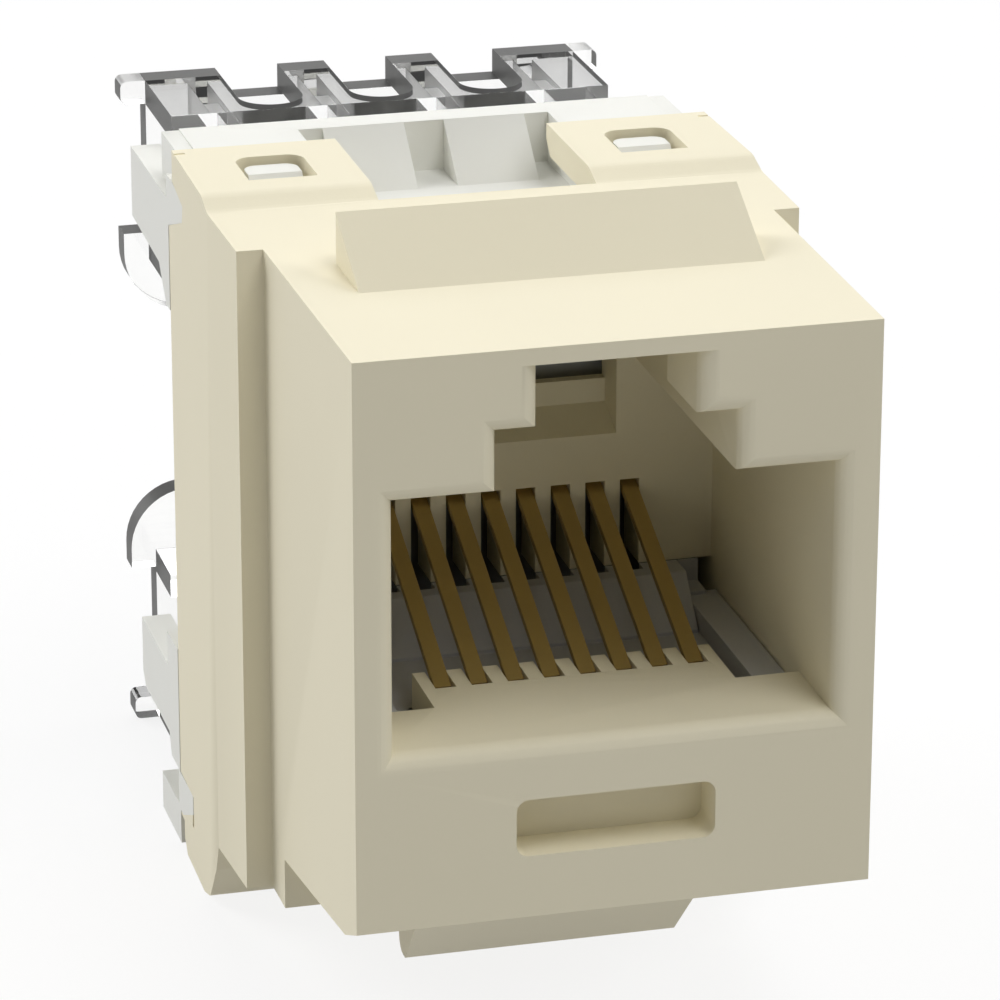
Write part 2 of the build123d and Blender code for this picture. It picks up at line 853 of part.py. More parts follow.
def cap_plate_face():
    """Front view of the cap's rear plate, with ears, tabs and cable hole."""
    body = cap_width / 2
    ear = body + ear_reach
    waist = body - waist_depth
    ear_high = cap_top - ear_drop
    ear_low = ear_high - ear_length
    upper = [
        (waist, ear_low),
        (ear, ear_low),
        (ear, ear_high),
        (body, ear_high),
        (body, cap_top - tab_height),
        (ear, cap_top - tab_height),
        (ear, cap_top),
    ]
    lower = [(x, 2 * cap_middle - z) for x, z in reversed(upper)]
    right = lower + upper
    left = [(-x, z) for x, z in reversed(right)]
    face = outline(*right, *left)
    corners = []
    for x in (ear, -ear):
        corners += [(x, ear_low), (x, 2 * cap_middle - ear_low)]
    face = rounded(face, corners, ear_round)
    return face - Pos(0, cap_middle) * Circle(cable_hole / 2)


def cap_slab_face():
    """Plan view of the cap's slab, with its round-ended notches."""
    half = cap_width / 2
    face = rectangle((-half, cap_front), (half, plate_front + 0.1))
    radius = notch_width / 2
    round_centre = cap_front + notch_set_back + radius
    for x in post_places():
        face -= rectangle((x - radius, round_centre), (x + radius, plate_front + 1))
        face -= Pos(x, round_centre) * Circle(radius)
    return face


def cap_ribs(shelf_top, slab_under):
    """Ribs that press the wires down, cut for the terminals they pass over."""
    ribs = []
    reach = terminal_width / 2 + kerf_play
    lift = terminal_thickness / 2 + kerf_play
    for x in terminal_places():
        view = rectangle((x - rib_width / 2, shelf_top - 0.1), (x + rib_width / 2, slab_under + 0.1))
        rib = front_prism(view, cap_front, plate_front + 0.1)
        kerf = rectangle((x - reach, upper_row - lift), (x + reach, upper_row + lift))
        rib -= front_prism(kerf, cap_front - 1, terminal_back + cap_travel + kerf_play)
        below = rectangle((x - rib_width, shelf_top - 1), (x + rib_width, shelf_top))
        rib -= front_prism(below, cap_front - 1, cap_front + shelf_set_back)
        ribs.append(rib)
    return ribs


def cap_upper_half():
    """Slab, ribs and shelf above the cap's middle."""
    shelf_top = cap_top - shelf_drop
    slab_under = cap_top - cap_slab
    half = plan_prism(cap_slab_face(), slab_under, cap_top)
    for rib in cap_ribs(shelf_top, slab_under):
        half += rib
    shelf_half = cap_width / 2 - shelf_inset
    shelf = rectangle((-shelf_half, cap_front + shelf_set_back), (shelf_half, plate_front + 0.1))
    return half + plan_prism(shelf, shelf_top - shelf_thickness, shelf_top)


def wire_cap():
    """Clear cap that presses the wires into the terminals."""
    plate = front_prism(cap_plate_face(), plate_front, cap_back)
    for x in post_places():
        half = notch_width / 2
        notch = rectangle((x - half, cap_top - notch_rear_drop), (x + half, cap_top + 1))
        cut = front_prism(notch, plate_front - 1, cap_back + 1)
        plate -= cut
        plate -= mirror(cut, about=Plane.XY.offset(cap_middle))
    upper = cap_upper_half()
    return plate + upper + mirror(upper, about=Plane.XY.offset(cap_middle))


def single(shape):
    """The one solid of a shape, or the whole shape where it has several."""
    solids = shape.solids()
    if len(solids) == 1:
        return solids[0]
    return Compound(children=solids)


def pieces():
    """Each node's name and solid."""
    result = {
        "housing": housing(),
        "contact_carrier": contact_carrier(),
        "circuit_board": circuit_board(),
        "wire_block": wire_block(),
        "wire_cap": wire_cap(),
    }
    for index, x in enumerate(contact_places(), start=1):
        result[f"contact_{index}"] = contact(x)
    number = 1
    for z in (upper_row, lower_row):
        for x in terminal_places():
            result[f"idc_terminal_{number}"] = terminal(x, z)
            number += 1
    return result


os.makedirs("parts", exist_ok=True)
to_panel = Pos(0, -box_length, -box_height / 2)
for name, shape in pieces().items():
    export_step(single(to_panel * shape), f"parts/{name}.step")
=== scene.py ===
"""Keystone jack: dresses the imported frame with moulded, plated and clear pieces.

Pieces are shaped in millimetres from the lower edge of the front face, with X
across, Y back and Z up, and are then placed in the row frame in metres.
"""

from __future__ import annotations

import logging
import math
from collections.abc import Iterator
from contextlib import contextmanager
from dataclasses import dataclass
from enum import Enum, IntEnum

import bpy
from mathutils import Matrix, Vector

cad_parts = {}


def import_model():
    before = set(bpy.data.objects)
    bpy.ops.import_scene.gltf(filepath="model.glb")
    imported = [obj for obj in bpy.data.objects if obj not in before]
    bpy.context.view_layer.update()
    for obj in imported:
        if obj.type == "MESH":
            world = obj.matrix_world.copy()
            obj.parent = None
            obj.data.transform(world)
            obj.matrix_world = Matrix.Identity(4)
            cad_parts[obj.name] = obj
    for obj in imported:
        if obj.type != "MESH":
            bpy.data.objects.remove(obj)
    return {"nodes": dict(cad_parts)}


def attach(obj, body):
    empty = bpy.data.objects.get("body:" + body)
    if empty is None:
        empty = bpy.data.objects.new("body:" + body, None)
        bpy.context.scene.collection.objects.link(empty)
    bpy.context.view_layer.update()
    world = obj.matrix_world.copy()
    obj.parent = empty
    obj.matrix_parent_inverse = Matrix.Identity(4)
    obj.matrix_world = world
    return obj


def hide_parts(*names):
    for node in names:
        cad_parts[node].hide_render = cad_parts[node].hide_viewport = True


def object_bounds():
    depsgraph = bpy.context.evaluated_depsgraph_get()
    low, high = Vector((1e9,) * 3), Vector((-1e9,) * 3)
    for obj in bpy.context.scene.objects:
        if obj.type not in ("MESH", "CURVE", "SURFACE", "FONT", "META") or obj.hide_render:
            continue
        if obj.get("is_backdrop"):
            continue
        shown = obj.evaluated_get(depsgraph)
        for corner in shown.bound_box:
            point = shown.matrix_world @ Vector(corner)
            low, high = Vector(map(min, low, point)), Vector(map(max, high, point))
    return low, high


LOG = logging.getLogger("keystone_jack")
MM = 0.001
SEAT_Y = 9.85
SEAT_Z = 7.97
JACK = "jack"
CAP = "cap"
SIDES = (-1, 1)

# How far cutting tools reach past a piece, how much joined solids share, and
# how long a round tool is, in millimetres.
PAST = 1.0
LAP = 0.1
ROUND_TOOL = 4.0

# What counts as the same point, the same line or plane, and straight along an
# axis, and how near a cutting plane a corner is taken to lie on it, in millimetres.
SAME_POINT = 0.0005
SAME_PLANE = 0.002
STRAIGHT = 0.001
ON_CUT = 1e-5

# Least cosine between two directions that count as one, and the bend in
# degrees below which two faces count as one.
SAME_WAY = 0.999
FLAT_BEND = 0.3

Point = tuple[float, float, float]
Spot = tuple[float, float]
Colour = tuple[float, float, float]
Solid = bpy.types.Object
Tree = bpy.types.NodeTree
Socket = bpy.types.NodeSocket


class Axis(Enum):
    """Direction along which a primitive is laid."""

    X = 0
    Y = 1
    Z = 2


class Join(Enum):
    """Ways to combine two solids."""

    ADD = "UNION"
    CUT = "DIFFERENCE"


class Pick(Enum):
    """Parts of a mesh that can be selected."""

    FACE = "FACE"
    EDGE = "EDGE"


@dataclass(frozen=True)
class Run:
    """Straight stretch of a bent strip."""

    step: Point


@dataclass(frozen=True)
class Turn:
    """Bend of a strip about a line that runs along X."""

    centre: Point
    degrees: float
    facets: int = 6


def beside(side: int, inner: float, outer: float) -> tuple[float, float]:
    """Find the ends of a stretch on one side of the centre plane.

    Args:
        side: -1 for the left and 1 for the right.
        inner: The distance from the plane at which it starts.
        outer: The distance at which it ends.

    Returns:
        Its lower and its higher X.
    """
    low, high = sorted((side * inner, side * outer))
    return low, high


# ---------------------------------------------------------------- modelling


class Bench:
    """Hand-modelling steps that work on one mesh at a time."""

    @staticmethod
    def clear() -> None:
        """Deselect everything."""
        for other in bpy.context.selected_objects:
            other.select_set(False)

    @staticmethod
    def only(obj: Solid) -> None:
        """Make obj the one selected and active object."""
        Bench.clear()
        obj.select_set(True)
        bpy.context.view_layer.objects.active = obj

    @staticmethod
    def settle() -> None:
        """Move the selected object's place, turn and scale into its mesh."""
        bpy.ops.object.transform_apply(location=True, rotation=True, scale=True)

    @staticmethod
    @contextmanager
    def editing(obj: Solid) -> Iterator[None]:
        """Work on the whole mesh of obj in edit mode."""
        Bench.only(obj)
        bpy.ops.object.mode_set(mode="EDIT")
        bpy.ops.mesh.select_all(action="SELECT")
        yield
        bpy.ops.object.mode_set(mode="OBJECT")

    @staticmethod
    def block(name: str, low: Point, high: Point) -> Solid:
        """Add a box.

        Args:
            name: The new object's name.
            low: Its lowest corner.
            high: Its highest corner.

        Returns:
            The box, with its place in its mesh.
        """
        Bench.clear()
        centre = [(a + b) / 2 for a, b in zip(low, high)]
        bpy.ops.mesh.primitive_cube_add(size=1.0, location=centre)
        obj = bpy.context.active_object
        obj.name = name
        obj.scale = [b - a for a, b in zip(low, high)]
        Bench.settle()
        return obj

    @staticmethod
    def rod(centre: Point, radius: float, axis: Axis, sides: int) -> Solid:
        """Add a cylinder to cut with.

        Args:
            centre: Its middle.
            radius: Its radius.
            axis: The direction it lies along.
            sides: The number of its facets.

        Returns:
            The cylinder, with its place in its mesh.
        """
        Bench.clear()
        quarter = math.pi / 2
        turn = {Axis.X: (0, quarter, 0), Axis.Y: (quarter, 0, 0), Axis.Z: (0, 0, 0)}[axis]
        bpy.ops.mesh.primitive_cylinder_add(
            vertices=sides, radius=radius, depth=ROUND_TOOL, location=centre, rotation=turn
        )
        Bench.settle()
        return bpy.context.active_object

    @staticmethod
    def combine(obj: Solid, tool: Solid, how: Join) -> None:
        """Add tool to obj or cut it out of obj, and remove tool."""
        Bench.only(obj)
        step = obj.modifiers.new("step", "BOOLEAN")
        step.operation = how.value
        step.solver = "EXACT"
        step.object = tool
        bpy.ops.object.modifier_apply(modifier=step.name)
        bpy.data.objects.remove(tool, do_unlink=True)

    @staticmethod
    def box(obj: Solid, how: Join, low: Point, high: Point) -> None:
        """Add a box to obj or cut it out of obj.

        Args:
            obj: The mesh to change.
            how: Whether the box is added or cut.
            low: The box's lowest corner.
            high: The box's highest corner.
        """
        Bench.combine(obj, Bench.block("tool", low, high), how)

    @staticmethod
    def bisect(obj: Solid, point: Point, normal: Point, trim: bool = False) -> None:
        """Cut the faces along a plane.

        Args:
            obj: The mesh to change.
            point: A point on the plane.
            normal: The plane's normal.
            trim: Whether what lies past the plane goes and the cut is closed.
        """
        with Bench.editing(obj):
            bpy.ops.mesh.bisect(
                plane_co=point, plane_no=normal, use_fill=trim, clear_outer=trim, threshold=ON_CUT
            )

    @staticmethod
    def twin(obj: Solid, name: str) -> Solid:
        """Copy a piece with a mesh of its own."""
        made = obj.copy()
        made.data = obj.data.copy()
        made.name = name
        bpy.context.scene.collection.objects.link(made)
        return made

    @staticmethod
    def shift(obj: Solid, step: Point) -> None:
        """Move a piece's mesh."""
        Bench.only(obj)
        obj.location = step
        Bench.settle()

    @staticmethod
    def flip(obj: Solid, axis: Axis, middle: float) -> None:
        """Turn a piece into its mirror image.

        Args:
            obj: The piece.
            axis: The direction that is reversed.
            middle: The place on that axis that stays.
        """
        Bench.only(obj)
        factor = [1.0, 1.0, 1.0]
        offset = [0.0, 0.0, 0.0]
        factor[axis.value] = -1.0
        offset[axis.value] = 2.0 * middle
        obj.scale = factor
        obj.location = offset
        Bench.settle()
        with Bench.editing(obj):
            bpy.ops.mesh.normals_make_consistent(inside=False)

    @staticmethod
    def flatten(obj: Solid) -> None:
        """Merge double points and take out the edges inside flat faces."""
        with Bench.editing(obj):
            bpy.ops.mesh.remove_doubles(threshold=SAME_POINT)
            bpy.ops.mesh.dissolve_limited(angle_limit=math.radians(FLAT_BEND))

    @staticmethod
    def round_edges(
        obj: Solid, along: Axis, spots: list[Spot], radius: float, segments: int
    ) -> None:
        """Bevel the edges that run along an axis through the given spots.

        Args:
            obj: The mesh to change.
            along: The axis the edges follow.
            spots: Their places on the other two axes.
            radius: The radius of the rounding.
            segments: The number of its facets.
        """
        mesh = obj.data
        found = [edge.index for edge in mesh.edges if Bench.runs(mesh, edge, along, spots)]
        Bench.choose(obj, Pick.EDGE, found)
        bpy.ops.mesh.bevel(offset=radius, segments=segments, affect="EDGES", clamp_overlap=True)
        bpy.ops.object.mode_set(mode="OBJECT")

    @staticmethod
    def runs(
        mesh: bpy.types.Mesh, edge: bpy.types.MeshEdge, along: Axis, spots: list[Spot]
    ) -> bool:
        """Tell whether an edge follows an axis through one of the spots.

        Args:
            mesh: The edge's mesh.
            edge: The edge.
            along: The axis.
            spots: Places on the other two axes.

        Returns:
            True where it does.
        """
        first, last = (mesh.vertices[index].co for index in edge.vertices)
        across = [index for index in range(3) if index != along.value]
        if any(abs(first[index] - last[index]) > STRAIGHT for index in across):
            return False
        place = tuple(first[index] for index in across)
        return any(math.dist(place, spot) < SAME_PLANE for spot in spots)

    @staticmethod
    def choose(obj: Solid, kind: Pick, indices: list[int]) -> None:
        """Enter edit mode with only the given faces or edges selected.

        Args:
            obj: The mesh to edit.
            kind: What is selected.
            indices: Which of them.
        """
        Bench.only(obj)
        bpy.ops.object.mode_set(mode="EDIT")
        bpy.ops.mesh.select_mode(type=kind.value)
        bpy.ops.mesh.select_all(action="DESELECT")
        bpy.ops.object.mode_set(mode="OBJECT")
        parts = obj.data.polygons if kind is Pick.FACE else obj.data.edges
        for index in indices:
            parts[index].select = True
        bpy.ops.object.mode_set(mode="EDIT")

    @staticmethod
    def facing(obj: Solid, point: Point, normal: Point) -> list[int]:
        """Faces that look along a direction and lie in a plane.

        Args:
            obj: The mesh to search.
            point: A point of the plane.
            normal: The faces' normal.

        Returns:
            Their indices.
        """
        towards = Vector(normal).normalized()
        level = Vector(point).dot(towards)
        return [
            face.index
            for face in obj.data.polygons
            if face.normal.dot(towards) > SAME_WAY
            and abs(face.center.dot(towards) - level) < SAME_PLANE
        ]

    @staticmethod
    def follow(obj: Solid, point: Point, normal: Point, route: list[Run | Turn]) -> None:
        """Lengthen a strip from one of its ends by extruding and spinning that end.

        Args:
            obj: The strip.
            point: A point of the end face's plane.
            normal: The end face's normal.
            route: The stretches and bends to add, in order.
        """
        Bench.choose(obj, Pick.FACE, Bench.facing(obj, point, normal))
        bpy.ops.mesh.delete(type="ONLY_FACE")
        bpy.ops.mesh.select_mode(type="EDGE")
        bpy.ops.mesh.select_non_manifold(
            use_wire=False, use_multi_face=False, use_non_contiguous=False
        )
        for part in route:
            if isinstance(part, Run):
                bpy.ops.mesh.extrude_region_move(TRANSFORM_OT_translate={"value": part.step})
            else:
                bpy.ops.mesh.spin(
                    steps=part.facets,
                    angle=math.radians(part.degrees),
                    center=part.centre,
                    axis=(1.0, 0.0, 0.0),
                )
        bpy.ops.mesh.edge_face_add()
        bpy.ops.mesh.select_all(action="SELECT")
        bpy.ops.mesh.remove_doubles(threshold=SAME_POINT)
        bpy.ops.mesh.normals_make_consistent(inside=False)
        bpy.ops.object.mode_set(mode="OBJECT")

    @staticmethod
    def soften(obj: Solid, width: float, angle: float = 20.0, segments: int = 2) -> None:
        """Round the sharp edges, and shade the rest smooth with the flat faces kept flat.

        Args:
            obj: The mesh to round.
            width: The rounding's width.
            angle: The least angle between two faces, in degrees, that counts as sharp.
            segments: The number of the rounding's facets.
        """
        Bench.only(obj)
        bpy.ops.object.shade_smooth_by_angle(angle=math.radians(angle))
        step = obj.modifiers.new("step", "BEVEL")
        step.width = width
        step.segments = segments
        step.limit_method = "ANGLE"
        step.angle_limit = math.radians(angle)
        step.use_clamp_overlap = True
        step.miter_outer = "MITER_ARC"
        step.harden_normals = True
        bpy.ops.object.modifier_apply(modifier=step.name)

    @staticmethod
    def place(obj: Solid) -> None:
        """Move a piece from millimetres to its place in the row frame."""
        Bench.only(obj)
        obj.scale = (MM, MM, MM)
        obj.location = (0.0, -SEAT_Y * MM, -SEAT_Z * MM)
        Bench.settle()

    @staticmethod
    def copy_of_node(name: str, node: Solid) -> Solid:
        """Copy a node's mesh as one closed skin of flat faces, in millimetres.

        Args:
            name: The new object's name.
            node: The node to copy, which is left as it is.

        Returns:
            The copy.
        """
        obj = bpy.data.objects.new(name, node.data.copy())
        bpy.context.scene.collection.objects.link(obj)
        obj.data.materials.clear()
        obj.data.transform(Matrix.Translation((0.0, SEAT_Y * MM, SEAT_Z * MM)))
        obj.data.transform(Matrix.Scale(1.0 / MM, 4))
        Bench.flatten(obj)
        return obj

    @staticmethod
    def dress(obj: Solid, material: bpy.types.Material) -> None:
        """Give a piece one material."""
        obj.data.materials.clear()
        obj.data.materials.append(material)


# ---------------------------------------------------------------- finishes


def link_value(tree: Tree, source: Socket, target: Socket) -> None:
    """Join two sockets."""
    tree.links.new(source, target)


def add_math(tree: Tree, operation: str, *values: Socket | float) -> Socket:
    """Add a math node.

    Args:
        tree: The nodes to add it to.
        operation: What it works out.
        values: Its inputs in order, each a socket or a number.

    Returns:
        Its result.
    """
    node = tree.nodes.new("ShaderNodeMath")
    node.operation = operation
    for target, value in zip(node.inputs, values):
        if isinstance(value, bpy.types.NodeSocket):
            link_value(tree, value, target)
        else:
            target.default_value = value
    return node.outputs[0]


class MouldedGrain:
    """Fine texture that a spark-eroded mould leaves on plastic, as a shared node group."""

    name = "moulded_grain"
    inputs = {
        "Scale": "NodeSocketFloat",
        "Tint": "NodeSocketColor",
        "Drift": "NodeSocketFloat",
        "Rough": "NodeSocketFloat",
    }
    outputs = {
        "Color": "NodeSocketColor",
        "Roughness": "NodeSocketFloat",
        "Height": "NodeSocketFloat",
    }
    fine_detail = 3.0
    fine_rough = 0.6
    broad_scale = 140.0
    broad_detail = 2.0
    rough_swing = 0.1
    noise_middle = 0.5

    @classmethod
    def group(cls) -> Tree:
        """Build the group once.

        Returns:
            The group, with the inputs and outputs that the class names.
        """
        found = bpy.data.node_groups.get(cls.name)
        if found:
            return found
        tree = bpy.data.node_groups.new(cls.name, "ShaderNodeTree")
        for way, sockets in (("INPUT", cls.inputs), ("OUTPUT", cls.outputs)):
            for name, kind in sockets.items():
                tree.interface.new_socket(name, in_out=way, socket_type=kind)
        nodes = tree.nodes
        inside = nodes.new("NodeGroupInput")
        outside = nodes.new("NodeGroupOutput")
        place = nodes.new("ShaderNodeTexCoord")
        fine = nodes.new("ShaderNodeTexNoise")
        fine.inputs["Detail"].default_value = cls.fine_detail
        fine.inputs["Roughness"].default_value = cls.fine_rough
        broad = nodes.new("ShaderNodeTexNoise")
        broad.inputs["Scale"].default_value = cls.broad_scale
        broad.inputs["Detail"].default_value = cls.broad_detail
        for noise in (fine, broad):
            link_value(tree, place.outputs["Object"], noise.inputs["Vector"])
        link_value(tree, inside.outputs["Scale"], fine.inputs["Scale"])
        drift = add_math(tree, "SUBTRACT", broad.outputs["Fac"], cls.noise_middle)
        swing = add_math(tree, "MULTIPLY_ADD", drift, inside.outputs["Drift"], 1.0)
        tint = nodes.new("ShaderNodeVectorMath")
        tint.operation = "SCALE"
        link_value(tree, inside.outputs["Tint"], tint.inputs[0])
        link_value(tree, swing, tint.inputs["Scale"])
        grain = add_math(tree, "SUBTRACT", fine.outputs["Fac"], cls.noise_middle)
        rough = add_math(tree, "MULTIPLY_ADD", grain, cls.rough_swing, inside.outputs["Rough"])
        link_value(tree, tint.outputs[0], outside.inputs["Color"])
        link_value(tree, rough, outside.inputs["Roughness"])
        link_value(tree, fine.outputs["Fac"], outside.inputs["Height"])
        return tree


@dataclass(frozen=True)
class Finish:
    """A procedural material that is built once."""

    name: str
    colour: Colour
    rough: float = 0.45

    def material(self) -> bpy.types.Material:
        """Find or build the material.

        Returns:
            The material.
        """
        found = bpy.data.materials.get(self.name)
        if found:
            return found
        made = bpy.data.materials.new(self.name)
        made.use_nodes = True
        self.fill(made.node_tree, made.node_tree.nodes["Principled BSDF"])
        return made

    def fill(self, tree: Tree, shader: bpy.types.Node) -> None:
        """Set up the new material.

        Args:
            tree: The material's nodes.
            shader: Its surface shader.
        """
        raise NotImplementedError

    def add_grain(
        self, tree: Tree, shader: bpy.types.Node, scale: float, drift: float
    ) -> bpy.types.Node:
        """Colour and roughen the surface with the shared grain.

        Args:
            tree: The material's nodes.
            shader: Its surface shader.
            scale: The grain's fineness.
            drift: How far the colour varies.

        Returns:
            The grain's node.
        """
        grain = tree.nodes.new("ShaderNodeGroup")
        grain.node_tree = MouldedGrain.group()
        grain.inputs["Scale"].default_value = scale
        grain.inputs["Tint"].default_value = (*self.colour, 1.0)
        grain.inputs["Drift"].default_value = drift
        grain.inputs["Rough"].default_value = self.rough
        link_value(tree, grain.outputs["Color"], shader.inputs["Base Color"])
        link_value(tree, grain.outputs["Roughness"], shader.inputs["Roughness"])
        return grain


@dataclass(frozen=True)
class MouldedPlastic(Finish):
    """Opaque moulded plastic with a fine eroded grain."""

    drift: float = 0.03
    grain: float = 9000.0
    depth: float = 0.04
    relief: float = 0.00005
    specular: float = 0.4

    def fill(self, tree: Tree, shader: bpy.types.Node) -> None:
        """Set up the grain and its relief."""
        grain = self.add_grain(tree, shader, self.grain, self.drift)
        bump = tree.nodes.new("ShaderNodeBump")
        bump.inputs["Strength"].default_value = self.depth
        bump.inputs["Distance"].default_value = self.relief
        link_value(tree, grain.outputs["Height"], bump.inputs["Height"])
        link_value(tree, bump.outputs["Normal"], shader.inputs["Normal"])
        shader.inputs["Specular IOR Level"].default_value = self.specular


@dataclass(frozen=True)
class ClearPlastic(Finish):
    """Polished or frosted clear plastic."""

    rough: float = 0.03
    refraction: float = 1.5

    def fill(self, tree: Tree, shader: bpy.types.Node) -> None:
        """Set up the clear surface."""
        shader.inputs["Base Color"].default_value = (*self.colour, 1.0)
        shader.inputs["Roughness"].default_value = self.rough
        shader.inputs["IOR"].default_value = self.refraction
        shader.inputs["Transmission Weight"].default_value = 1.0


@dataclass(frozen=True)
class PlatedMetal(Finish):
    """Plated sheet metal with a fine grain."""

    rough: float = 0.3
    drift: float = 0.15
    grain: float = 6000.0

    def fill(self, tree: Tree, shader: bpy.types.Node) -> None:
        """Set up the grain and the metal."""
        self.add_grain(tree, shader, self.grain, self.drift)
        shader.inputs["Metallic"].default_value = 1.0


IVORY = MouldedPlastic("ivory_moulding", (0.87, 0.81, 0.62), rough=0.55, specular=0.2)
WHITE = MouldedPlastic("white_moulding", (0.83, 0.83, 0.78), rough=0.45, specular=0.3)
GREY = MouldedPlastic("grey_moulding", (0.52, 0.525, 0.54), rough=0.5)
BOARD = MouldedPlastic("board_laminate", (0.28, 0.29, 0.28), rough=0.3)
CLEAR = ClearPlastic("clear_moulding", (0.99, 0.99, 0.985))
# Frosted clear plastic tinted grey: the roughness is the surface's own, the grey tint is a
# painted light shade for the ribs and upper tabs.
CLEAR_FROSTED_SHADE = ClearPlastic("clear_moulding_frosted_shade", (0.78, 0.78, 0.77), rough=0.45)
# Opaque dark grey put on the clear cap's faces seen edge on: painted shade for the dark look of
# thick clear plastic.
CLEAR_PAINTED_SHADE = MouldedPlastic(
    "clear_moulding_painted_shade", (0.13, 0.13, 0.127), rough=0.4, drift=0.5, depth=0.0, specular=0.05
)
GOLD = PlatedMetal("gold_plate", (0.46, 0.345, 0.135), rough=0.5)
TIN = PlatedMetal("tin_plate", (0.55, 0.55, 0.53), rough=0.3)


# ---------------------------------------------------------------- the jack


def finish_piece(obj: Solid, look: Finish, body: str, node: str) -> None:
    """Dress a finished piece and tie it to the frame.

    Args:
        obj: The piece, shaped in millimetres.
        look: Its finish.
        body: The body it rides on.
        node: The node it stands for.
    """
    Bench.place(obj)
    Bench.dress(obj, look.material())
    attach(obj, body)
    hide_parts(node)
    LOG.info("%s: %d faces", obj.name, len(obj.data.polygons))


@dataclass
class Housing:
    """The ivory body."""

    edge: float = 0.07

    def build(self, nodes: dict[str, Solid]) -> None:
        """Model and dress the body.

        Args:
            nodes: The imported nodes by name.
        """
        shell = Bench.copy_of_node("housing_shell", nodes["housing"])
        Bench.soften(shell, self.edge)
        finish_piece(shell, IVORY, JACK, "housing")


@dataclass
class WireBlock:
    """The white block behind the body."""

    edge: float = 0.06
    home: float = 0.055

    def build(self, nodes: dict[str, Solid]) -> None:
        """Model and dress the block, pushed home against the body.

        Args:
            nodes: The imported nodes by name.
        """
        shell = Bench.copy_of_node("wire_block_shell", nodes["wire_block"])
        Bench.shift(shell, (0.0, -self.home, 0.0))
        Bench.soften(shell, self.edge)
        finish_piece(shell, WHITE, JACK, "wire_block")


class CapFinish(IntEnum):
    """The cap's materials, in the order of its slots."""

    CLEAR = 0
    # Opaque dark grey: painted shade on the faces seen edge on.
    EDGE = 1
    # Frosted grey: a lighter painted shade on the ribs and the upper tabs.
    RIB = 2


@dataclass(frozen=True)
class FaceRule:
    """Limits that tell the cap's clear faces from those seen edge on, which get painted shade.

    The first three are parts of a face's normal along an axis. The rest are
    margins in millimetres at the plate and slab, the tabs and kerfs, and the shelves.
    """

    looks: float = 0.7
    leans: float = 0.5
    droops: float = 0.35
    skin: float = 0.02
    root: float = 0.1
    rim: float = 0.05


